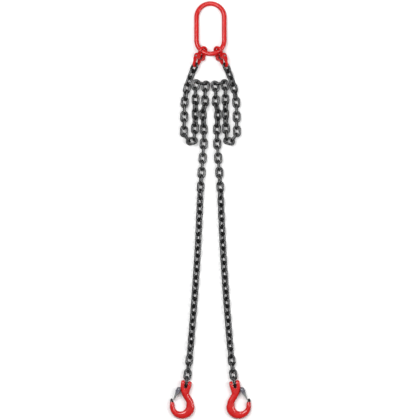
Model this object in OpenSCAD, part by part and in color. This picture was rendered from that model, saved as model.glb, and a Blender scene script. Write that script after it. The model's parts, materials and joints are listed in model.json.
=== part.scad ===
// Two-leg grade 80 chain sling, laid out on a flat floor.
// A forged master link carries two short chain legs. Each leg hangs from a two-piece
// coupling and ends in a clevis sling hook with a sprung safety latch.
// The master link is at +Y, the hooks are at -Y, and the floor is z = 0.
// The +X leg mirrors the -X leg.

/* [Chain] */
// Diameter of the chain bar
bar_d = 8; // [7.6:0.1:8.1]
// Inner length of a link, which is the chain's pitch and its play
link_inner_l = 24.5; // [24.4:0.1:25]
// Inner width of a link
link_inner_w = 11.2; // [11:0.1:11.4]
// Free play between two linked bars
link_gap = 0.5; // [0.3:0.1:0.6]

/* [Master link] */
// Diameter of the master link's bar
master_bar = 16; // [14:0.5:16]
// Inner width of the master link
master_inner_w = 76; // [75:0.5:78]
// Inner length of the master link
master_inner_l = 152; // [150:1:160]
// Angle at which the couplings prop up the master link's lower end
master_pitch = 6; // [5:0.5:7]

/* [Couplings] */
// Bar diameter of the coupling's upper loop
upper_bar = 9.5; // [9:0.1:10]
// Centreline radius of the upper loop
upper_loop_r = 16.5; // [16:0.1:17]
// Bar diameter of the coupling's lower loop
lower_bar = 9.5; // [9:0.1:9.6]
// Centreline radius of the lower loop
lower_loop_r = 12; // [11.8:0.1:12.4]
// Diameter of the coupling's pin
coupling_pin_d = 11; // [10:0.5:12]
// Outer radius of the bosses that the pin passes through
coupling_boss_r = 10; // [9.5:0.1:10]
// Lean of the pin from the vertical, with its upper end outward
coupling_lean = 36; // [30:1:40]

/* [Hooks] */
// Thickness of the hook's forging
hook_t = 21; // [19:0.5:22]
// Radius of the hook's bowl
bowl_r = 20; // [18:0.5:21]
// Radius of the hook's outer curve
hook_back_r = 41.2; // [40:0.2:42]
// Diameter of the load pin
load_pin_d = 10; // [9:0.5:10]
// Width of the clevis slot
slot_w = 11.2; // [10.4:0.1:12]
// Overall width of the clevis ears
clevis_w = 35; // [32:0.5:36]

/* [Hidden] */
$fn = 48;
hull_fn = 24;
slip = 0.05;
sides = ["left", "right"];
steel_red = [0.8, 0.05, 0.06];
chain_black = [0.13, 0.13, 0.14];
zinc = [0.62, 0.63, 0.65];

// ---- Directions and placing ----

function unit(v) = v / norm(v);
// Direction with a heading (0 is -Y, positive turns to +X) and a pitch above the floor
function along(heading, pitch) = [
    sin(heading) * cos(pitch),
    -cos(heading) * cos(pitch),
    sin(pitch)
];
// Sideways direction of a piece that points along u and is rolled about it
function sideways(u, roll) =
    let (level = unit(cross([0, 0, 1], u)))
    cos(roll) * level + sin(roll) * cross(u, level);

// Puts a shape's X along u, its Y along v and its origin at p
module place(p, u, v) {
    w = cross(u, v);
    multmatrix([
        [u[0], v[0], w[0], p[0]],
        [u[1], v[1], w[1], p[1]],
        [u[2], v[2], w[2], p[2]]
    ])
        children();
}

// ---- Master link ----

master_arc_r = (master_inner_w + master_bar) / 2;
master_half_l = (master_inner_l + master_bar) / 2;
master_st = master_half_l - master_arc_r;
master_centre = [0, 597.3, master_bar / 2 + master_half_l * sin(master_pitch)];
// Angle round the lower arc, from its middle, at which a coupling hangs
seat_angle = 34.4;

function tip_up(p) = [
    p[0],
    p[1] * cos(master_pitch) + p[2] * sin(master_pitch),
    p[2] * cos(master_pitch) - p[1] * sin(master_pitch)
];
seat = master_centre + tip_up([
    -master_arc_r * sin(seat_angle),
    -master_st - master_arc_r * cos(seat_angle),
    0
]);
seat_along = tip_up([cos(seat_angle), -sin(seat_angle), 0]);

// ---- Coupling ----

// Middle of the bar of the lower loop, where the chain starts
leg_start = [-52, 474, 20];
coupling_dir = unit(leg_start - seat);
coupling_side = sideways(coupling_dir, 90 + coupling_lean);
// Play between the upper loop and the master link, which the loop's tilt takes up
seat_gap = 1.9;
upper_reach = 35.6;
lower_reach = norm(leg_start - seat) + (master_bar + upper_bar) / 2 + seat_gap - upper_reach;
coupling_pin_at = leg_start - lower_reach * coupling_dir;
boss_w = 7;
bush_l = 11;
boss_gap = 0.4;
bush_d = 17;
inner_boss_y = bush_l / 2 + boss_gap + boss_w / 2;
outer_boss_y = inner_boss_y + boss_w + boss_gap;
coupling_half_w = outer_boss_y + boss_w / 2;
arm_t = 13;

// ---- Chain route ----

leg_links = 63;
run_count = 19;
function run_size(r) = r >= 12 && r <= 17 ? 4 : 3;
function run_first(r) = r == 1 ? 0 : run_first(r - 1) + run_size(r - 1);

link_rc = (link_inner_w + bar_d) / 2;
link_half = (link_inner_l + bar_d) / 2;
link_st = link_half - link_rc;
// How far above the floor a settled link's bar stays
lie_gap = 1.2;
// Share of its height error that each link settles
settle = 0.6;
start_heading = -26;
// The way a leg lies on the floor, stretch by stretch: [links, heading, roll].
// Heading and roll change evenly along a stretch and reach the values given.
// The leg runs down, folds back up beside itself, and then runs down to its hook.
stretches = [
    [1, -26, 36], [6, -1, 84], [3, -1, 80],
    [1, 35, 82], [1, 104, 82], [1, 176, 80],
    [3, 180, 52], [2, 179, 68], [1, 180, 78],
    [1, 167, 84], [1, 82, 84], [1, -12, 84], [1, -2, 80],
    [1, 6, 72], [1, -18, 64], [1, 6, 58],
    [4, -3, 84], [2, -5, 90], [2, -4, 82],
    [4, -2, 48], [11, -4, 45], [9, -5, 45], [5, -8, 90]
];
function spread(i = 0, h = start_heading, r = coupling_lean) =
    i == len(stretches) ? [] :
    let (s = stretches[i])
    concat(
        [for (k = [1 : s[0]]) [h + (s[1] - h) * k / s[0], r + (s[2] - r) * k / s[0]]],
        spread(i + 1, s[1], s[2])
    );
turns = spread();

// Height of a link's centre when its bar rests just above the floor
function lie_z(roll) = link_rc * max(abs(sin(roll)), abs(cos(roll))) + bar_d / 2 + lie_gap;
// Direction in which one bar hangs off another, both given by their tangents
function hang(a, b, forward) =
    let (n = unit(cross(a, b)))
    n * forward < 0 ? -n : n;
// Each link as [centre, long direction, sideways direction], one link after another
function walk(k, p, t, u) =
    k == leg_links ? [] :
    let (
        heading = turns[k][0],
        roll = turns[k][1] + (k % 2) * 90,
        drop = (k == 0 ? (lower_bar + bar_d) / 2 : bar_d) + link_gap,
        level = along(heading, 0),
        lead = p - drop * hang(t, sideways(level, roll), u + level),
        pitch = asin(settle * (lie_z(roll) - lead[2]) / link_half),
        v = along(heading, pitch),
        s = sideways(v, roll),
        c = p - drop * hang(t, s, u + v) + link_half * v
    )
    concat([[c, v, s]], walk(k + 1, c + link_half * v, s, v));
links = walk(0, leg_start, coupling_side, along(start_heading, 0));
last_link = links[leg_links - 1];

// ---- Hook ----
// Hook drawing frame: origin on the load pin, +X away from the tip, -Y down to the bowl

hook_heading = -11;
pin_seat = link_half - bar_d / 2 - link_gap - load_pin_d / 2;
hook_pin_at = last_link[0] + pin_seat * last_link[1];
edge_r = 7;
bowl_c = [-5.3, -74.8];
back_c = [1.3, -76.1];
hook_pitch = -asin((hook_pin_at[2] - hook_t / 2) / (hook_back_r - edge_r - back_c[1]));
hook_dir = along(hook_heading, hook_pitch);
hook_side = sideways(hook_dir, 0);
ear_r = 10.6;
slot_bottom = -15.7;
waist_y = -75;
// Pegs that the forging is stretched over: [x, y, radius, thickness]
ear_pegs = [
    [-14.3, -3, 3.2, hook_t], [14.3, -3, 3.2, hook_t], [-13.9, -13, 3.2, hook_t],
    [9.5, -26, 6, hook_t], [-5, -29, 5.8, hook_t]
];
neck_peg = [3, -34, 10.8, hook_t];
shank_peg = [22.5, -55, 11, hook_t];
side_peg = [28.6, waist_y, 13.9, hook_t];
throat_peg = [-32.6, -76, 7.3, hook_t - 1];
point_peg = [-36, -68, 5.2, hook_t - 4];
tip_peg = [-37.9, -60, 3.4, hook_t - 9];

// ---- Latch ----

latch_at = [-20.7, -21.5];
latch_tip = [-31.4, -59.9];
latch_l = norm(latch_tip - latch_at);
latch_turn = atan2(latch_tip[1] - latch_at[1], latch_tip[0] - latch_at[0]);
latch_pin_d = 4;
latch_wall = 1.8;
latch_half_w = 13;
lug_r = 4.2;
lug_top = 3;
lug_bottom = -10.7;
spring_wire = 1.3;
spring_r = 3.4;
spring_turns = 5;
retainer_d = 3.5;
retainer_x = 11.6;

function run_name(s, r) = str(s, "_chain_", r < 10 ? "0" : "", r);

// ---- Shapes shared by several pieces ----

// Oval ring of round bar in the XY plane, long along X
module oval_ring(half_st, arc_r, bar) {
    for (s = [-1, 1])
        translate([-half_st, s * arc_r, 0])
            rotate([0, 90, 0])
                cylinder(d = bar, h = 2 * half_st);
    for (turn = [0, 180])
        rotate([0, 0, turn])
            translate([half_st, 0, 0])
                rotate_extrude(angle = 180, start = -90)
                    translate([arc_r, 0])
                        circle(d = bar);
}

// Round pin along Z, centred, with a chamfer at both ends
module round_pin(d, l, chamfer) {
    rotate_extrude()
        polygon([
            [0, -l / 2], [d / 2 - chamfer, -l / 2], [d / 2, -l / 2 + chamfer],
            [d / 2, l / 2 - chamfer], [d / 2 - chamfer, l / 2], [0, l / 2]
        ]);
}

// Disc along Z with rounded rims
module round_disc(r, t, edge) {
    rotate_extrude() {
        square_up(r - edge, t);
        square_up(r, t - 2 * edge);
        for (s = [-1, 1])
            intersection() {
                translate([r - edge, s * (t / 2 - edge)])
                    circle(r = edge);
                square_up(r, t);
            }
    }
}

module square_up(w, h) {
    translate([0, -h / 2])
        square([w, h]);
}

// ---- Master link ----

module master_link() {
    color(steel_red)
        translate(master_centre)
            rotate([-master_pitch, 0, 0])
                rotate([0, 0, 90])
                    oval_ring(master_st, master_arc_r, master_bar);
}

// ---- Couplings ----

// Forged arm from one end of a loop to its boss; the pin is at the origin along Y
module coupling_arm(loop_x, loop_y, boss_y, bar) {
    root_x = -coupling_boss_r - 1.4;
    hull() {
        translate([loop_x, loop_y, 0])
            rotate([0, 90, 0])
                cylinder(d = bar, h = 0.6, $fn = 32);
        translate([root_x, boss_y - boss_w / 2, -arm_t / 2])
            cube([0.8, boss_w, arm_t]);
    }
    translate([root_x, boss_y - boss_w / 2, -arm_t / 2])
        cube([-root_x, boss_w, arm_t]);
    translate([0, boss_y, 0])
        rotate([90, 0, 0])
            round_pin(2 * coupling_boss_r, boss_w, 0.8);
}

// One half of a coupling: a loop toward -X, an outer boss at -Y and an inner boss at +Y
module coupling_half(reach, loop_r, bar) {
    loop_x = loop_r - reach;
    difference() {
        union() {
            translate([loop_x, 0, 0])
                rotate_extrude(angle = 180, start = 90)
                    translate([loop_r, 0])
                        circle(d = bar);
            coupling_arm(loop_x, -loop_r, -outer_boss_y, bar);
            coupling_arm(loop_x, loop_r, inner_boss_y, bar);
        }
        rotate([90, 0, 0])
            cylinder(d = coupling_pin_d + 2 * slip, h = 4 * coupling_half_w, center = true);
    }
}

module coupling_upper() {
    color(steel_red)
        place(coupling_pin_at, coupling_dir, coupling_side)
            coupling_half(upper_reach, upper_loop_r, upper_bar);
}

module coupling_lower() {
    color(steel_red)
        place(coupling_pin_at, coupling_dir, coupling_side)
            rotate([0, 0, 180])
                coupling_half(lower_reach, lower_loop_r, lower_bar);
}

module coupling_pin() {
    color(zinc)
        place(coupling_pin_at, coupling_dir, coupling_side)
            rotate([90, 0, 0])
                round_pin(coupling_pin_d, 2 * coupling_half_w + 1, 0.8);
}

module coupling_bush() {
    color(chain_black)
        place(coupling_pin_at, coupling_dir, coupling_side)
            rotate([90, 0, 0])
                difference() {
                    round_pin(bush_d, bush_l, 0.6);
                    cylinder(d = coupling_pin_d + 2 * slip, h = 2 * bush_l, center = true);
                }
}

// ---- Chain ----

module chain_run(r) {
    color(chain_black)
        for (k = [run_first(r) : run_first(r) + run_size(r) - 1])
            place(links[k][0], links[k][1], links[k][2])
                oval_ring(link_st, link_rc, bar_d);
}

// ---- Hooks ----

// Upright peg with rounded rims, a corner of the forging
module peg(p) {
    edge = min(p[2] - 0.4, edge_r);
    translate([p[0], p[1], 0])
        for (a = [0 : 30 : 90])
            cylinder(
                r = p[2] - edge * (1 - cos(a)),
                h = p[3] - 2 * edge * (1 - sin(a)),
                center = true,
                $fn = hull_fn
            );
}

module stretch_over(pegs) {
    hull()
        for (p = pegs)
            peg(p);
}

// Bowl of the hook: a thick disc with an eccentric hole, cut off level with the waist
module bowl() {
    flare = 6;
    top = hook_t / 2;
    difference() {
        translate(back_c)
            round_disc(hook_back_r, hook_t, edge_r);
        translate(bowl_c)
            rotate_extrude() {
                square_up(bowl_r, 2 * hook_t);
                for (s = [-1, 1])
                    scale([1, s])
                        difference() {
                            translate([bowl_r - 1, top - flare])
                                square([flare + 1, 2 * flare]);
                            translate([bowl_r + flare, top - flare])
                                circle(r = flare);
                        }
            }
        translate([-2 * hook_back_r, waist_y, -hook_t])
            cube([4 * hook_back_r, 3 * hook_back_r, 2 * hook_t]);
    }
}

module hook() {
    color(steel_red)
        place(hook_pin_at, hook_side, -hook_dir)
            difference() {
                union() {
                    stretch_over(concat(ear_pegs, [neck_peg]));
                    stretch_over([neck_peg, shank_peg]);
                    stretch_over([shank_peg, side_peg]);
                    bowl();
                    stretch_over([throat_peg, point_peg]);
                    stretch_over([point_peg, tip_peg]);
                    rotate([0, 90, 0])
                        round_pin(2 * ear_r, clevis_w, 1.2);
                    latch_lug();
                }
                clevis_slot();
                rotate([0, 90, 0])
                    cylinder(d = load_pin_d + 2 * slip, h = 2 * clevis_w, center = true);
                translate([retainer_x, 0, 0])
                    cylinder(d = retainer_d + 2 * slip, h = 2 * hook_t, center = true);
                translate(latch_at)
                    cylinder(d = latch_pin_d + 2 * slip, h = 2 * hook_t, center = true);
            }
}

// Slot for the last link, with a round bottom
module clevis_slot() {
    slot_r = slot_w / 2;
    translate([-slot_r, slot_bottom + slot_r, -hook_t])
        cube([slot_w, 3 * ear_r, 2 * hook_t]);
    translate([0, slot_bottom + slot_r, 0])
        cylinder(d = slot_w, h = 2 * hook_t, center = true);
}

// Lug on the throat side of the neck that carries the latch
module latch_lug() {
    lug_h = lug_top - lug_bottom;
    translate([latch_at[0], latch_at[1], lug_bottom])
        cylinder(r = lug_r, h = lug_h);
    translate([latch_at[0], latch_at[1] - lug_r, lug_bottom])
        cube([9, 2 * lug_r - 1, lug_h]);
}

module load_pin() {
    color(zinc)
        place(hook_pin_at, hook_side, -hook_dir)
            difference() {
                rotate([0, 90, 0])
                    round_pin(load_pin_d, clevis_w + 1, 0.8);
                translate([retainer_x, 0, 0])
                    cylinder(d = retainer_d + 2 * slip, h = 2 * hook_t, center = true);
            }
}

module retaining_pin() {
    color(zinc)
        place(hook_pin_at, hook_side, -hook_dir)
            translate([retainer_x, 0, 0])
                round_pin(retainer_d, 2 * ear_r + 0.6, 0.4);
}

// ---- Latch ----
// Latch drawing frame: origin on the latch pin, +X to the latch's tip, +Y into the throat

module in_latch() {
    place(hook_pin_at, hook_side, -hook_dir)
        translate(latch_at)
            rotate([0, 0, latch_turn])
                children();
}

// Outline of the latch seen along its pin, moved sideways by shift
module latch_outline(shift) {
    translate([0, shift]) {
        circle(r = 6.2);
        polygon([
            [-3, -7], [8, -7.2], [13, -5.8], [latch_l, -1.6], [latch_l, 1.2],
            [24, 3.2], [12, 6.4], [0, 6.2], [-3, 5.4]
        ]);
        translate([8.6, -6.2])
            circle(r = 2);
    }
}

// Taper of the latch seen from its edge
module latch_taper(half_w, tip_half_w) {
    rotate([90, 0, 0])
        linear_extrude(height = 60, center = true)
            polygon([
                [-12, -half_w], [16, -half_w], [latch_l + 1, -tip_half_w],
                [latch_l + 1, tip_half_w], [16, half_w], [-12, half_w]
            ]);
}

module latch() {
    color(zinc)
        in_latch()
            difference() {
                intersection() {
                    linear_extrude(height = 2 * latch_half_w, center = true)
                        latch_outline(0);
                    latch_taper(latch_half_w, 6);
                }
                intersection() {
                    linear_extrude(height = 2 * latch_half_w, center = true)
                        union() {
                            latch_outline(latch_wall);
                            latch_outline(3 * latch_wall);
                            translate([-12, 0])
                                square([12 + latch_l - 1, 20]);
                        }
                    latch_taper(latch_half_w - latch_wall, 6 - latch_wall);
                }
                cylinder(d = latch_pin_d + 2 * slip, h = 4 * latch_half_w, center = true);
            }
}

module latch_pin() {
    color(zinc)
        in_latch()
            round_pin(latch_pin_d, 2 * latch_half_w + 1, 0.4);
}

// Torsion spring round the latch pin, above the lug, with a leg on the latch and one on the neck
module latch_spring() {
    first_z = lug_top + 0.3 + spring_wire / 2;
    pitch = spring_wire - 0.1;
    color(zinc)
        in_latch() {
            for (k = [0 : spring_turns - 1])
                translate([0, 0, first_z + k * pitch])
                    rotate_extrude()
                        translate([spring_r, 0])
                            circle(d = spring_wire);
            translate([0.4, -spring_r, first_z + (spring_turns - 1) * pitch])
                rotate([0, 90, 0])
                    cylinder(d = 0.9 * spring_wire, h = 11);
        }
}

// ---- Assembly ----

module on_side(s) {
    if (s == "left")
        children();
    else
        mirror([1, 0, 0])
            children();
}

master_link();
for (s = sides)
    on_side(s) {
        coupling_upper();
        coupling_lower();
        coupling_pin();
        coupling_bush();
        for (r = [1 : run_count])
            chain_run(r);
        hook();
        load_pin();
        retaining_pin();
        latch();
        latch_pin();
        latch_spring();
    }
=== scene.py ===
"""Two-leg chain sling on a pale floor, seen from straight above."""

import json
import math

import bmesh
import bpy
import numpy as np
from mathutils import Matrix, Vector

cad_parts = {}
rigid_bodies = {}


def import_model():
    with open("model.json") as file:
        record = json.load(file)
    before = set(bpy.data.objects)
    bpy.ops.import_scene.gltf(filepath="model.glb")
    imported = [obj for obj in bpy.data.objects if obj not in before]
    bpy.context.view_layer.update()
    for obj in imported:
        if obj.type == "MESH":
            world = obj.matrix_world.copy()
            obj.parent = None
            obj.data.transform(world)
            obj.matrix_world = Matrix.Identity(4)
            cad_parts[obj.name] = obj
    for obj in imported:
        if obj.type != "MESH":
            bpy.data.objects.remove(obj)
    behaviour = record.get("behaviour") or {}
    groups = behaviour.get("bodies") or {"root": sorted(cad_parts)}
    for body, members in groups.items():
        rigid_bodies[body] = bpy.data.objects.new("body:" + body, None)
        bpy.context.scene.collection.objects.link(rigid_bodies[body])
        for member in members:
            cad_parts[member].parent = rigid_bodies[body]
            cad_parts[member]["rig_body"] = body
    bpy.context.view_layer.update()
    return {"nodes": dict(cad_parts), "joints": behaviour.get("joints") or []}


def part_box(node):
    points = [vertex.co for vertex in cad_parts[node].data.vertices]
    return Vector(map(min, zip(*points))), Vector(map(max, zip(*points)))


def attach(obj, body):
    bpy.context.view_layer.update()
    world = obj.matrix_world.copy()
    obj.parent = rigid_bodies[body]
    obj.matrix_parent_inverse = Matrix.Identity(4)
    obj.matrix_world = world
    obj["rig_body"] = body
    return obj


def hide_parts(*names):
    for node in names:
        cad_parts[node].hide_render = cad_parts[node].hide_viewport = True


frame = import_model()
NODES = frame["nodes"]
JOINTS = {joint["name"]: joint for joint in frame["joints"]}
SIDES = ("left", "right")
MM = 0.001
UP = Vector((0, 0, 1))
RUNS = sorted(name[len("left_chain_"):] for name in NODES if name.startswith("left_chain_"))


# ---------------------------------------------------------------- camera, floor and light

# The lens and the sensor are in mm, the picture's width and centre in metres. A lens this long,
# far above, shows almost no perspective.
LENS = 600.0
SENSOR = 36.0
CLIP_END = 100.0
PICTURE_WIDTH = 1.3946
PICTURE_CENTRE = (-0.0013, -0.0042)

FLOOR_REACH = 80.0
WORLD_STRENGTH = 0.14
# Each softbox: name, place, width and height in metres, power in watts. All aim at the middle.
SOFTBOXES = (
    ("key", (-1.3, 0.9, 5.0), (1.6, 3.4), 215),
    ("fill", (2.4, -0.3, 4.0), (0.8, 3.4), 108),
    ("head", (0.0, 3.4, 2.8), (2.0, 0.6), 42),
)


def make_camera():
    """Looks straight down on the sling, with +Y at the top of the picture."""
    data = bpy.data.cameras.new("camera")
    data.sensor_width = SENSOR
    data.lens = LENS
    data.clip_end = CLIP_END
    camera = bpy.data.objects.new("camera", data)
    camera.location = (*PICTURE_CENTRE, PICTURE_WIDTH * LENS / SENSOR)
    bpy.context.scene.collection.objects.link(camera)
    bpy.context.scene.camera = camera


def softbox(name, place, size, power):
    data = bpy.data.lights.new(name, "AREA")
    data.shape = "RECTANGLE"
    data.size, data.size_y = size
    data.energy = power
    light = bpy.data.objects.new(name, data)
    light.location = place
    light.rotation_euler = (-light.location).to_track_quat("-Z", "Y").to_euler()
    bpy.context.scene.collection.objects.link(light)


def make_studio():
    floor_mesh = bpy.data.meshes.new("floor")
    corners = [(x * FLOOR_REACH, y * FLOOR_REACH, 0)
               for x, y in ((-1, -1), (1, -1), (1, 1), (-1, 1))]
    floor_mesh.from_pydata(corners, [], [(0, 1, 2, 3)])
    floor = bpy.data.objects.new("floor", floor_mesh)
    bpy.context.scene.collection.objects.link(floor)
    floor_mesh.materials.append(floor_material())
    world = bpy.data.worlds.new("studio")
    world.use_nodes = True
    background = world.node_tree.nodes["Background"]
    background.inputs["Color"].default_value = (1.0, 1.0, 1.0, 1.0)
    background.inputs["Strength"].default_value = WORLD_STRENGTH
    bpy.context.scene.world = world
    bpy.context.scene.view_settings.view_transform = "Standard"
    for box in SOFTBOXES:
        softbox(*box)


# ---------------------------------------------------------------- materials

# Linear colours.
FLOOR_TONES = (0.88, 0.88, 0.88), (0.92, 0.92, 0.92)
PAINT_TONES = (0.55, 0.0095, 0.0085), (0.46, 0.0070, 0.0070)
# Painted shade: the dark red laid into the hollows of the red paint.
PAINT_HOLLOW_SHADE = (0.09, 0.004, 0.005)
PAINT_OVERSPRAY = (0.42, 0.006, 0.011)
CHIP_TONES = (0.05, 0.045, 0.045), (0.17, 0.165, 0.16)
BARE_TIP = (0.016, 0.011, 0.012)
SCALE_TONES = (0.022, 0.022, 0.024), (0.060, 0.062, 0.062)
SCALE_BROWN = (0.060, 0.056, 0.048)
HEAT_TINT = (0.07, 0.066, 0.078)
RUBBED_STEEL = (0.34, 0.33, 0.32)
TURNED_TONES = (0.44, 0.43, 0.41), (0.13, 0.12, 0.11)
ZINC_TONES = (0.28, 0.29, 0.29), (0.40, 0.42, 0.41)
ZINC_DULL = (0.17, 0.165, 0.18)
# Painted shade: the darker tones of the latch round its pivot.
ZINC_HUB_SHADE_TONES = (0.055, 0.052, 0.066), (0.10, 0.097, 0.118)
ZINC_EDGE = (0.48, 0.48, 0.49)


class Shader:
    """A material's node tree, with short calls for the nodes that the finishes share.
    A noise or cell pattern of scale n has features about 1/n metres across."""

    def __init__(self, name):
        self.material = bpy.data.materials.new(name)
        self.material.use_nodes = True
        self.tree = self.material.node_tree
        self.surface = self.tree.nodes["Principled BSDF"]
        self.place = self.tree.nodes.new("ShaderNodeTexCoord").outputs["Object"]

    def node(self, kind, **settings):
        node = self.tree.nodes.new(kind)
        for key, value in settings.items():
            setattr(node, key, value)
        return node

    def link(self, source, target):
        self.tree.links.new(source, target)

    def noise(self, scale, detail=3.0, roughness=0.55):
        node = self.node("ShaderNodeTexNoise")
        node.inputs["Scale"].default_value = scale
        node.inputs["Detail"].default_value = detail
        node.inputs["Roughness"].default_value = roughness
        self.link(self.place, node.inputs["Vector"])
        return node.outputs["Fac"]

    def cells(self, scale):
        node = self.node("ShaderNodeTexVoronoi")
        node.inputs["Scale"].default_value = scale
        self.link(self.place, node.inputs["Vector"])
        return node.outputs["Distance"]

    def attribute(self, name):
        return self.node("ShaderNodeAttribute", attribute_name=name).outputs["Fac"]

    def pointiness(self):
        return self.node("ShaderNodeNewGeometry").outputs["Pointiness"]

    def ramp(self, value, low, high, start=0.0, end=1.0):
        node = self.node("ShaderNodeMapRange", interpolation_type="SMOOTHSTEP")
        node.inputs["From Min"].default_value = low
        node.inputs["From Max"].default_value = high
        node.inputs["To Min"].default_value = start
        node.inputs["To Max"].default_value = end
        self.link(value, node.inputs["Value"])
        return node.outputs["Result"]

    def math(self, operation, a, b):
        node = self.node("ShaderNodeMath", operation=operation)
        for socket, value in zip(node.inputs, (a, b)):
            if isinstance(value, float):
                socket.default_value = value
            else:
                self.link(value, socket)
        return node.outputs["Value"]

    def mix(self, factor, a, b):
        """Mixes two colours; each is a colour tuple or a socket."""
        node = self.node("ShaderNodeMix", data_type="RGBA")
        self.link(factor, node.inputs["Factor"])
        for socket, value in ((node.inputs[6], a), (node.inputs[7], b)):
            if isinstance(value, tuple):
                socket.default_value = (*value, 1.0)
            else:
                self.link(value, socket)
        return node.outputs[2]

    def bump(self, layers):
        """layers: (height socket, distance in metres, strength), the coarsest first."""
        normal = None
        for height, distance, strength in layers:
            node = self.node("ShaderNodeBump")
            node.inputs["Distance"].default_value = distance
            node.inputs["Strength"].default_value = strength
            self.link(height, node.inputs["Height"])
            if normal is not None:
                self.link(normal, node.inputs["Normal"])
            normal = node.outputs["Normal"]
        self.link(normal, self.surface.inputs["Normal"])

    def set(self, name, value):
        socket = self.surface.inputs[name]
        if isinstance(value, tuple):
            socket.default_value = (*value, 1.0)
        elif isinstance(value, float):
            socket.default_value = value
        else:
            self.link(value, socket)


def floor_material():
    s = Shader("pale_floor")
    s.set("Base Color", s.mix(s.noise(1.5), *FLOOR_TONES))
    s.set("Roughness", 0.9)
    s.set("Specular IOR Level", 0.1)
    return s.material


def red_paint_material():
    """Glossy red paint over a forging: slight sags, chips, painted shade in the hollows and a
    bare tip.
    """
    s = Shader("red_paint")
    tone = s.mix(s.ramp(s.noise(55.0), 0.3, 0.7), *PAINT_TONES)
    # Painted shade: the paint is darkened in patches where the mesh's pointiness is low, in the
    # hollows.
    hollow = s.ramp(s.pointiness(), 0.485, 0.40)
    hollow_shade = s.math("MULTIPLY", hollow, s.ramp(s.noise(260.0), 0.2, 0.6))
    tone = s.mix(hollow_shade, tone, PAINT_HOLLOW_SHADE)
    edge = s.ramp(s.pointiness(), 0.56, 0.66)
    chip = s.math("MULTIPLY", edge, s.ramp(s.noise(750.0, 4.0, 0.7), 0.54, 0.62))
    speck = s.ramp(s.noise(420.0, 5.0, 0.75), 0.715, 0.74)
    bare = s.math("MAXIMUM", chip, speck)
    bare = s.math("MAXIMUM", bare, s.ramp(s.attribute("rub"), 0.45, 0.8))
    steel = s.mix(s.noise(900.0), *CHIP_TONES)
    tip = s.math("ADD", s.attribute("tip"), s.math("MULTIPLY", s.noise(500.0), 0.35))
    tip = s.ramp(tip, 0.62, 0.72)
    tone = s.mix(bare, tone, steel)
    s.set("Base Color", s.mix(tip, tone, BARE_TIP))
    metal = s.math("MAXIMUM", bare, s.math("MULTIPLY", tip, 0.6))
    s.set("Metallic", metal)
    smooth = s.ramp(s.noise(130.0), 0.25, 0.75, 0.22, 0.36)
    s.set("Roughness", s.math("MAXIMUM", smooth, s.math("MULTIPLY", metal, 0.46)))
    s.set("Specular IOR Level", 0.18)
    s.set("Coat Weight", 0.45)
    s.set("Coat Roughness", 0.07)
    s.bump([(s.noise(110.0, 2.0), 0.0010, 0.22),
            (s.cells(480.0), 0.00030, 0.20),
            (s.noise(2600.0), 0.00010, 0.25)])
    return s.material


def chain_material():
    """Black tempered scale, rubbed to grey steel where links bear on each other."""
    s = Shader("chain_steel")
    mottle = s.ramp(s.noise(240.0, 4.0), 0.3, 0.75)
    tone = s.mix(mottle, *SCALE_TONES)
    tone = s.mix(s.ramp(s.noise(90.0), 0.55, 0.75), tone, SCALE_BROWN)
    tone = s.mix(s.ramp(s.attribute("heat"), 0.2, 0.9), tone, HEAT_TINT)
    worn = s.math("ADD", s.attribute("rub"), s.math("MULTIPLY", s.noise(700.0, 4.0), 0.5))
    worn = s.ramp(worn, 0.75, 1.05)
    tone = s.mix(worn, tone, RUBBED_STEEL)
    s.set("Base Color", tone)
    s.set("Metallic", s.ramp(worn, 0.0, 1.0, 0.85, 1.0))
    s.set("Roughness", s.ramp(s.noise(420.0, 4.0), 0.25, 0.8, 0.20, 0.40))
    s.set("Coat Weight", 0.4)
    s.set("Coat Roughness", 0.14)
    s.bump([(s.noise(300.0, 3.0), 0.0006, 0.40),
            (s.noise(1900.0), 0.00015, 0.35)])
    return s.material


def pin_material():
    """Bare turned steel with oil stain, and red overspray where a pin's end is painted over."""
    s = Shader("pin_steel")
    stain = s.ramp(s.noise(380.0, 4.0), 0.42, 0.66)
    steel = s.mix(stain, *TURNED_TONES)
    spray = s.math("ADD", s.attribute("overspray"), s.math("MULTIPLY", s.noise(800.0), 0.3))
    spray = s.ramp(spray, 0.6, 0.72)
    s.set("Base Color", s.mix(spray, steel, PAINT_OVERSPRAY))
    s.set("Metallic", s.ramp(spray, 0.0, 1.0, 1.0, 0.0))
    s.set("Roughness", s.ramp(s.noise(900.0), 0.3, 0.7, 0.24, 0.44))
    s.bump([(s.noise(1500.0, 2.0), 0.0002, 0.30)])
    return s.material


def zinc_material():
    """Zinc-plated pressed sheet: faint spangle, dull patches, worn edges, and painted shade that
    darkens the hub round the pivot.
    """
    s = Shader("latch_zinc")
    spangle = s.ramp(s.cells(330.0), 0.1, 0.7)
    tone = s.mix(spangle, *ZINC_TONES)
    tone = s.mix(s.ramp(s.noise(150.0, 4.0), 0.5, 0.7), tone, ZINC_DULL)
    # Painted shade: darker tones round the pivot, fading out along the latch.
    hub_shade = s.mix(spangle, *ZINC_HUB_SHADE_TONES)
    tone = s.mix(s.ramp(s.attribute("hub_shade"), 0.1, 0.6), tone, hub_shade)
    tone = s.mix(s.ramp(s.pointiness(), 0.54, 0.62), tone, ZINC_EDGE)
    s.set("Base Color", tone)
    s.set("Metallic", 0.5)
    s.set("Roughness", s.ramp(s.noise(600.0), 0.25, 0.75, 0.26, 0.44))
    s.bump([(s.noise(260.0, 2.0), 0.0004, 0.25),
            (s.noise(2200.0), 0.0001, 0.30)])
    return s.material


RED = red_paint_material()
CHAIN = chain_material()
PIN = pin_material()
ZINC = zinc_material()


# ---------------------------------------------------------------- mesh helpers

JOIN_DISTANCE = 1e-6


def in_scene(name, data):
    obj = bpy.data.objects.new(name, data)
    bpy.context.scene.collection.objects.link(obj)
    return obj


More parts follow.
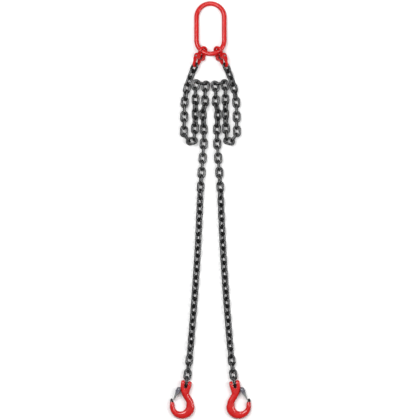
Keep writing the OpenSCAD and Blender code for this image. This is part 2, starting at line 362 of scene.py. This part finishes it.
def add_piece(mesh, ending, node, material):
    """Puts a mesh in the scene as a smooth piece that stands for a CAD node on its body."""
    name = f"{node}_{ending}"
    mesh.name = name
    obj = in_scene(name, mesh)
    mesh.materials.clear()
    mesh.materials.append(material)
    mesh.polygons.foreach_set("use_smooth", [True] * len(mesh.polygons))
    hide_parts(node)
    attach(obj, NODES[node]["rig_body"])


def evaluated(obj):
    """The mesh that an object gives after its modifiers; the object is removed."""
    graph = bpy.context.evaluated_depsgraph_get()
    mesh = bpy.data.meshes.new_from_object(obj.evaluated_get(graph))
    bpy.data.objects.remove(obj)
    return mesh


def set_attribute(mesh, name, values):
    attribute = mesh.attributes.new(name, "FLOAT", "POINT")
    attribute.data.foreach_set("value", np.asarray(values, np.float32))


def welded(node):
    """A CAD node's mesh with its doubled corners joined."""
    mesh = bmesh.new()
    mesh.from_mesh(NODES[node].data)
    bmesh.ops.remove_doubles(mesh, verts=mesh.verts, dist=JOIN_DISTANCE)
    return mesh


def loose_parts(mesh):
    """The separate closed shells in a bmesh, each as a list of faces."""
    seen = set()
    parts = []
    for start in mesh.faces:
        if start.index in seen:
            continue
        seen.add(start.index)
        part, queue = [], [start]
        while queue:
            face = queue.pop()
            part.append(face)
            for vert in face.verts:
                for other in vert.link_faces:
                    if other.index not in seen:
                        seen.add(other.index)
                        queue.append(other)
        parts.append(part)
    return parts


def principal_frame(faces):
    """Centre, axes from longest to shortest, and half-sizes along them, of a symmetric shell."""
    places = np.array([face.calc_center_median() for face in faces])
    areas = np.array([face.calc_area() for face in faces])
    centre = (places * areas[:, None]).sum(0) / areas.sum()
    offset = places - centre
    spread = (offset * areas[:, None]).T @ offset
    axes = np.linalg.eigh(spread)[1][:, ::-1].T
    points = np.array([vert.co for face in faces for vert in face.verts]) - centre
    return centre, axes, np.abs(points @ axes.T).max(0)


def oval_of(faces):
    """Reads an oval ring's bar radius, end radius and straight half-length off its shell."""
    centre, axes, half = principal_frame(faces)
    bar = half[2]
    arc = half[1] - bar
    return centre, axes, bar, arc, half[0] - bar - arc


def oval_centreline(arc, straight, arc_steps, straight_steps):
    """Points (x, y) and outward directions round an oval that is long along x."""
    points, outward = [], []
    for turn in (1, -1):
        for k in range(straight_steps):
            x = turn * straight * (1 - 2 * k / straight_steps)
            points.append((x, turn * arc))
            outward.append((0.0, float(turn)))
        for k in range(arc_steps):
            angle = math.pi * (0.5 + k / arc_steps)
            c, s = turn * math.cos(angle), turn * math.sin(angle)
            points.append((-turn * straight + arc * c, arc * s))
            outward.append((c, s))
    return np.array(points), np.array(outward)


def ring_mesh(centre, axes, path, outward, radii, sides):
    """Vertices and quads of a closed ring; radii(k, angle) is the bar's radius there."""
    vertices, faces = [], []
    steps = len(path)
    for k, (point, out) in enumerate(zip(path, outward)):
        for j in range(sides):
            angle = 2 * math.pi * j / sides
            radius = radii(k, angle)
            level = point + out * radius * math.cos(angle)
            vertices.append(centre + level[0] * axes[0] + level[1] * axes[1]
                            + radius * math.sin(angle) * axes[2])
    for k in range(steps):
        for j in range(sides):
            a = k * sides + j
            b = k * sides + (j + 1) % sides
            c = ((k + 1) % steps) * sides
            faces.append((a, c + j, c + (j + 1) % sides, b))
    return vertices, faces


def new_mesh(vertices, faces, attributes=()):
    """A closed mesh with point attributes, its doubled points joined and its faces outward."""
    mesh = bpy.data.meshes.new("piece")
    mesh.from_pydata([tuple(vertex) for vertex in vertices], [], faces)
    for name, values in attributes:
        set_attribute(mesh, name, values)
    shell = bmesh.new()
    shell.from_mesh(mesh)
    bmesh.ops.remove_doubles(shell, verts=shell.verts, dist=JOIN_DISTANCE)
    bmesh.ops.recalc_face_normals(shell, faces=shell.faces)
    shell.to_mesh(mesh)
    shell.free()
    return mesh


def weld_at(point, arc, side, half_length):
    """1 at a ring's weld, in the middle of the straight on that side, fading along it."""
    beside = point[1] * side > 0.9 * arc
    return math.exp(-(point[0] / half_length) ** 2) if beside else 0.0


def bearing_at(out, angle, start, power):
    """1 where the inside of a ring's end bears on the next part. start is the share of the
    turn round the end at which it begins."""
    end = max(0.0, (abs(out[0]) - start) / (1 - start))
    return end * max(0.0, -math.cos(angle)) ** power


# ---------------------------------------------------------------- chain

LINK_ARC_STEPS = 14
LINK_STRAIGHT_STEPS = 10
LINK_SIDES = 20
LINK_BEARING = {"start": 0.35, "power": 1.5}
LINK_WEAR = 0.03
WELD_SWELL = 0.055
WELD_HALF_L = 1.7 * MM
WELD_HEAT_HALF_L = 2.6 * WELD_HALF_L


def link_parts(faces, weld_side):
    """One chain link: round bar, a weld swell on one straight side, and worn inner ends."""
    centre, axes, bar, arc, straight = oval_of(faces)
    path, outward = oval_centreline(arc, straight, LINK_ARC_STEPS, LINK_STRAIGHT_STEPS)

    def rubbed(k, angle):
        return bearing_at(outward[k], angle, **LINK_BEARING)

    def radius(k, angle):
        swell = WELD_SWELL * weld_at(path[k], arc, weld_side, WELD_HALF_L)
        return bar * (1 + swell - LINK_WEAR * rubbed(k, angle))

    vertices, quads = ring_mesh(centre, axes, path, outward, radius, LINK_SIDES)
    around = [2 * math.pi * j / LINK_SIDES for j in range(LINK_SIDES)]
    rub = [rubbed(k, angle) for k in range(len(path)) for angle in around]
    heat = [weld_at(point, arc, weld_side, WELD_HEAT_HALF_L) for point in path for _ in around]
    return vertices, quads, rub, heat


def make_chain():
    for side in SIDES:
        for run in RUNS:
            node = f"{side}_chain_{run}"
            shell = welded(node)
            shell.faces.index_update()
            vertices, quads, rub, heat = [], [], [], []
            for n, part in enumerate(loose_parts(shell)):
                weld_side = 1 if (n + int(run)) % 3 else -1
                link = link_parts(part, weld_side)
                quads += [tuple(i + len(vertices) for i in quad) for quad in link[1]]
                vertices += link[0]
                rub += link[2]
                heat += link[3]
            shell.free()
            mesh = new_mesh(vertices, quads, [("rub", rub), ("heat", heat)])
            add_piece(mesh, "links", node, CHAIN)


# ---------------------------------------------------------------- master link

MASTER_ARC_STEPS = 56
MASTER_STRAIGHT_STEPS = 36
MASTER_SIDES = 40
MASTER_BEARING = {"start": 0.6, "power": 2}
MASTER_WEAR = 0.018
MASTER_WELD_SWELL = 0.03
MASTER_WELD_HALF_L = 5 * MM


def make_master_link():
    """Forged oval: slightly swollen at the weld, a little flattened where couplings sit."""
    shell = welded("master_link")
    centre, axes, bar, arc, straight = oval_of(list(shell.faces))
    shell.free()
    path, outward = oval_centreline(arc, straight, MASTER_ARC_STEPS, MASTER_STRAIGHT_STEPS)

    def radius(k, angle):
        swell = MASTER_WELD_SWELL * weld_at(path[k], arc, 1, MASTER_WELD_HALF_L)
        return bar * (1 + swell - MASTER_WEAR * bearing_at(outward[k], angle, **MASTER_BEARING))

    vertices, quads = ring_mesh(centre, axes, path, outward, radius, MASTER_SIDES)
    add_piece(new_mesh(vertices, quads), "forging", "master_link", RED)


# ---------------------------------------------------------------- forgings from the CAD solids

def forged(node, voxel, rounds):
    """A fine, evenly meshed copy of a CAD solid with its edges softened like a forging's."""
    shell = welded(node)
    mesh = bpy.data.meshes.new("work")
    shell.to_mesh(mesh)
    shell.free()
    obj = in_scene("work", mesh)
    remesh = obj.modifiers.new("remesh", "REMESH")
    remesh.mode = "VOXEL"
    remesh.voxel_size = voxel
    smooth = obj.modifiers.new("smooth", "SMOOTH")
    smooth.factor = 0.5
    smooth.iterations = rounds
    return evaluated(obj)


def vertex_rows(mesh, what):
    flat = np.empty(len(mesh.vertices) * 3)
    mesh.vertices.foreach_get(what, flat)
    return flat.reshape(-1, 3)


def points_of(mesh):
    return vertex_rows(mesh, "co")


def normals_of(mesh):
    return vertex_rows(mesh, "normal")


def put_points(mesh, points):
    mesh.vertices.foreach_set("co", np.asarray(points).ravel())
    mesh.update()


def relaxed(mesh, points, weight, rounds):
    """Points moved towards their neighbours' mean, each by its weight, so that facets of a
    blended shape run into each other. The mean size lost is given back along the normals."""
    edges = np.empty(len(mesh.edges) * 2, int)
    mesh.edges.foreach_get("vertices", edges)
    a, b = edges.reshape(-1, 2).T
    count = np.bincount(edges, minlength=len(points))[:, None]
    normals = normals_of(mesh)
    before = points
    for _ in range(rounds):
        total = np.empty_like(points)
        for axis in range(3):
            total[:, axis] = (np.bincount(a, points[b, axis], len(points))
                              + np.bincount(b, points[a, axis], len(points)))
        points = points + (0.5 * weight)[:, None] * (total / count - points)
    inside = weight > 0.5
    lost = ((before - points) * normals).sum(1)[inside].mean()
    return points + normals * (weight * lost)[:, None]


COUPLING_VOXEL = 0.45 * MM
COUPLING_ROUNDS = 6


def make_couplings():
    for side in SIDES:
        for half in ("upper", "lower"):
            node = f"{side}_coupling_{half}"
            mesh = forged(node, COUPLING_VOXEL, COUPLING_ROUNDS)
            add_piece(mesh, "forging", node, RED)


def hook_axes(side):
    """The hook's own frame: origin on the load pin, x away from the tip, y to the chain, z up."""
    swing = JOINTS[f"hook_swing_{side}"]
    opening = JOINTS[f"latch_open_{side}"]
    origin = np.array(swing["pos_m"])
    x = np.array(swing["axis"])
    if (np.array(opening["pos_m"]) - origin) @ x > 0:
        x = -x
    z = np.array(opening["axis"])
    z = z if z[2] > 0 else -z
    y = np.cross(z, x)
    middle = np.mean([np.array(corner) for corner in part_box(f"{side}_hook")], axis=0)
    if (middle - origin) @ y > 0:
        y = -y
    return origin, np.array([x, y, z])


# All in the hook's own frame, from hook_axes().
HOOK_VOXEL = 0.7 * MM
HOOK_ROUNDS = 5
SHANK_TOP_Y = -24 * MM
SHANK_BLEND = 8 * MM
SHANK_ROUNDS = 70
FLASH_TOP_Y = -14 * MM
FLASH_DEPTH = 0.35 * MM
FLASH_HALF_H = 0.9 * MM
TIP_INNER_X = -24 * MM
TIP_ZONE_Y = -76 * MM, -50 * MM
TIP_START_Y = -71 * MM
TIP_FADE = 5 * MM
BOWL_X, BOWL_Y = -5.3 * MM, -74.8 * MM
BOWL_R = 20 * MM
BOWL_RUB_TOP_Y = -88 * MM
BOWL_RUB_HALF_W = 3 * MM
BOWL_RUB = 0.35
EAR_ROUND_Y = 5.5 * MM
EAR_TOP_Y = 10.6 * MM
EAR_MIDDLE_X = 9.2 * MM
EAR_NARROWING = 0.85


def rounded_ears(local):
    """Narrows both clevis ears towards their tops, so that they end round and not flat."""
    rise = np.clip((local[:, 1] - EAR_ROUND_Y) / (EAR_TOP_Y - EAR_ROUND_Y), 0, 1)
    narrow = np.sqrt(1 - EAR_NARROWING * rise ** 2)
    middle = EAR_MIDDLE_X * np.sign(local[:, 0])
    out = local.copy()
    out[:, 0] = middle + (local[:, 0] - middle) * narrow
    return out


def faired_shank(mesh, origin, axes):
    """The mesh's points with the shank and bowl smoothed out; the clevis stays as it is."""
    points = points_of(mesh)
    y = ((points - origin) @ axes.T)[:, 1]
    weight = np.clip((SHANK_TOP_Y - y) / SHANK_BLEND, 0, 1)
    return relaxed(mesh, points, weight, SHANK_ROUNDS)


def tip_mask(local):
    """1 on the bare tip, 0 elsewhere."""
    low, high = TIP_ZONE_Y
    y = local[:, 1]
    near = (local[:, 0] < TIP_INNER_X) & (y > low) & (y < high)
    return np.where(near, np.clip((y - TIP_START_Y) / TIP_FADE, 0, 1), 0)


def bowl_rub(local):
    """Wear on the inside of the bowl, where a load hangs."""
    distance = np.hypot(local[:, 0] - BOWL_X, local[:, 1] - BOWL_Y)
    inside = np.clip(1 - np.abs(distance - BOWL_R) / BOWL_RUB_HALF_W, 0, 1)
    return BOWL_RUB * inside * (local[:, 1] < BOWL_RUB_TOP_Y)


def make_hooks():
    for side in SIDES:
        node = f"{side}_hook"
        mesh = forged(node, HOOK_VOXEL, HOOK_ROUNDS)
        origin, axes = hook_axes(side)
        put_points(mesh, faired_shank(mesh, origin, axes))
        normals = normals_of(mesh)
        local = (points_of(mesh) - origin) @ axes.T
        facing = np.abs(normals @ axes[2])
        flash = np.exp(-(local[:, 2] / FLASH_HALF_H) ** 2) * np.clip(1 - 2 * facing, 0, 1)
        flash *= local[:, 1] < FLASH_TOP_Y
        raised = normals * (FLASH_DEPTH * flash)[:, None]
        put_points(mesh, origin + rounded_ears(local) @ axes + raised)
        set_attribute(mesh, "tip", tip_mask(local))
        set_attribute(mesh, "rub", bowl_rub(local))
        add_piece(mesh, "forging", node, RED)


LATCH_VOXEL = 0.3 * MM
LATCH_ROUNDS = 3
# Reach and fade of the painted shade round the latch pivot.
LATCH_HUB_SHADE_R = 26 * MM
LATCH_HUB_SHADE_FADE = 14 * MM


def make_latches():
    for side in SIDES:
        node = f"{side}_latch"
        mesh = forged(node, LATCH_VOXEL, LATCH_ROUNDS)
        pivot = np.array(JOINTS[f"latch_open_{side}"]["pos_m"])
        reach = np.linalg.norm(points_of(mesh) - pivot, axis=1)
        # Painted shade: 1 close to the pivot, fading to 0 further out along the latch.
        set_attribute(mesh, "hub_shade", np.clip((LATCH_HUB_SHADE_R - reach) / LATCH_HUB_SHADE_FADE, 0, 1))
        add_piece(mesh, "pressing", node, ZINC)


# ---------------------------------------------------------------- pins and springs

PIN_SIDES = 48
# The outline of a solid pin's end, in shares of its radius: (out from the axis, below the end).
PIN_END = ((0.0, 0.16), (0.10, 0.14), (0.24, 0.0), (0.55, 0.0), (0.75, 0.01),
           (0.90, 0.02), (0.97, 0.04), (1.0, 0.14))
PIN_OVERSPRAY = 0.55
OVERSPRAY_FADE = 5
BUSH_BORE = 5.55 * MM
BUSH_CHAMFER = 0.10


def turned_outline(radius, half, bore):
    """(radius, height) pairs down the outline of a solid pin, or of a bush if bore isn't 0."""
    if bore:
        edge = BUSH_CHAMFER * radius
        top = [(bore, half - edge / 2), (bore + edge / 2, half),
               (radius - edge, half), (radius, half - edge)]
    else:
        top = [(out * radius, half - below * radius) for out, below in PIN_END]
    return top + [(r, -h) for r, h in reversed(top)]


def turned(node, axis, material, overspray=None, bore=0.0):
    """A lathe-turned copy of a round CAD node about its axis, with chamfers and, on a solid pin,
    a centre mark in each end. Paint covers the end from the overspray share of its radius out."""
    low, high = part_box(node)
    centre = (np.array(low) + np.array(high)) / 2
    axis = np.asarray(axis) / np.linalg.norm(axis)
    offset = points_of(NODES[node].data) - centre
    along = offset @ axis
    half = np.abs(along).max()
    radius = np.linalg.norm(offset - along[:, None] * axis, axis=1).max()
    side = np.cross(axis, UP)
    side /= np.linalg.norm(side)
    other = np.cross(axis, side)
    vertices, quads, paint = [], [], []
    outline = turned_outline(radius, half, bore)
    for r, h in outline:
        sprayed = 0.0
        if overspray:
            sprayed = float(np.clip((r / radius - overspray) * OVERSPRAY_FADE + 0.5, 0, 1))
        for j in range(PIN_SIDES):
            angle = 2 * math.pi * j / PIN_SIDES
            spoke = side * math.cos(angle) + other * math.sin(angle)
            vertices.append(centre + axis * h + spoke * r)
            paint.append(sprayed)
    rows = len(outline)
    for i in range(rows if bore else rows - 1):
        for j in range(PIN_SIDES):
            k = (j + 1) % PIN_SIDES
            a, b = i * PIN_SIDES, ((i + 1) % rows) * PIN_SIDES
            quads.append((a + j, a + k, b + k, b + j))
    mesh = new_mesh(vertices, quads, [("overspray", paint)])
    add_piece(mesh, "turned", node, material)


def make_pins():
    for side in SIDES:
        coupling_axis = JOINTS[f"coupling_pin_turn_{side}"]["axis"]
        axes = hook_axes(side)[1]
        latch_axis = JOINTS[f"latch_open_{side}"]["axis"]
        turned(f"{side}_coupling_pin", coupling_axis, PIN, overspray=PIN_OVERSPRAY)
        turned(f"{side}_coupling_bush", coupling_axis, CHAIN, bore=BUSH_BORE)
        turned(f"{side}_load_pin", axes[0], PIN)
        turned(f"{side}_retaining_pin", axes[2], CHAIN)
        turned(f"{side}_latch_pin", latch_axis, PIN)


SPRING_WIRE = 0.65 * MM
SPRING_COIL = 3.4 * MM
SPRING_TURNS = 4.5
SPRING_LEG = 10 * MM
SPRING_STEPS = 120


def wire_mesh(path, radius):
    """A round wire with closed ends along a list of points."""
    curve = bpy.data.curves.new("work", "CURVE")
    curve.dimensions = "3D"
    curve.bevel_depth = radius
    curve.bevel_resolution = 3
    curve.use_fill_caps = True
    spline = curve.splines.new("POLY")
    spline.points.add(len(path) - 1)
    for point, place in zip(spline.points, path):
        point.co = (*place, 1)
    return evaluated(in_scene("work", curve))


def make_springs():
    """A wound torsion spring with one leg along the latch, where the CAD has a stack of rings."""
    for side in SIDES:
        node = f"{side}_latch_spring"
        axes = hook_axes(side)[1]
        pivot = np.array(JOINTS[f"latch_open_{side}"]["pos_m"])
        points = points_of(NODES[node].data)
        along = (points - pivot) @ axes[2]
        low, high = along.min() + SPRING_WIRE, along.max() - SPRING_WIRE
        far = points[np.argmax(np.linalg.norm(points - pivot, axis=1))] - pivot
        leg = far - (far @ axes[2]) * axes[2]
        leg /= np.linalg.norm(leg)
        across = np.cross(axes[2], leg)
        turn = 1 if (points.mean(0) - pivot) @ across < 0 else -1
        wire = []
        for k in range(SPRING_STEPS + 1):
            share = k / SPRING_STEPS
            angle = 2 * math.pi * SPRING_TURNS * (share - 1) * turn
            spoke = -turn * across * math.cos(angle) + leg * math.sin(angle)
            wire.append(pivot + SPRING_COIL * spoke + (low + (high - low) * share) * axes[2])
        wire.append(wire[-1] + leg * SPRING_LEG)
        add_piece(wire_mesh(wire, SPRING_WIRE), "wire", node, PIN)


# ---------------------------------------------------------------- the scene

make_camera()
make_studio()
make_master_link()
make_chain()
make_couplings()
make_hooks()
make_latches()
make_pins()
make_springs()
